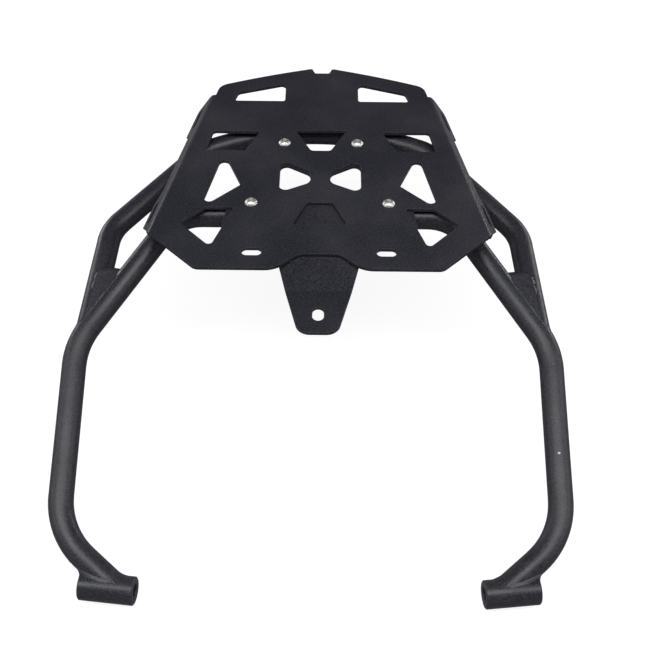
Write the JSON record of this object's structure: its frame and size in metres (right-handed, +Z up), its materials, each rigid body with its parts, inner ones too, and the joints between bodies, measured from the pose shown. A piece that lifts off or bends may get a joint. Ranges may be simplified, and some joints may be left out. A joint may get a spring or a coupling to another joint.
{
  "type": "motorcycle luggage rack",
  "caption": "Black steel tail rack: a folded deck plate with cut-out windows, screwed to a base plate on two bent tube hoops that end in mounting sleeves.",
  "frame": {"origin": "on the deck's flat top face, in the middle of the four screws", "axes": "+Z up out of the deck, +Y to the tail of the bike, +X to the right seen from the seat"},
  "size_m": [0.3968, 0.4849, 0.144],
  "materials": {
    "powder_coat": "satin black powder coat, fine grain",
    "plated_steel": "zinc plated",
    "stainless": "bright stainless"
  },
  "bodies": {
    "root": {"deck_plate": "powder_coat", "base_plate": "powder_coat", "main_hoop": "powder_coat", "rear_hoop": "powder_coat", "left_sleeve": "powder_coat", "right_sleeve": "powder_coat", "near_left_boss": "plated_steel", "near_right_boss": "plated_steel", "far_left_weld_nut": "plated_steel", "far_right_weld_nut": "plated_steel", "near_left_screw": "stainless", "near_right_screw": "stainless", "far_left_screw": "stainless", "far_right_screw": "stainless"}
  },
  "joints": []
}
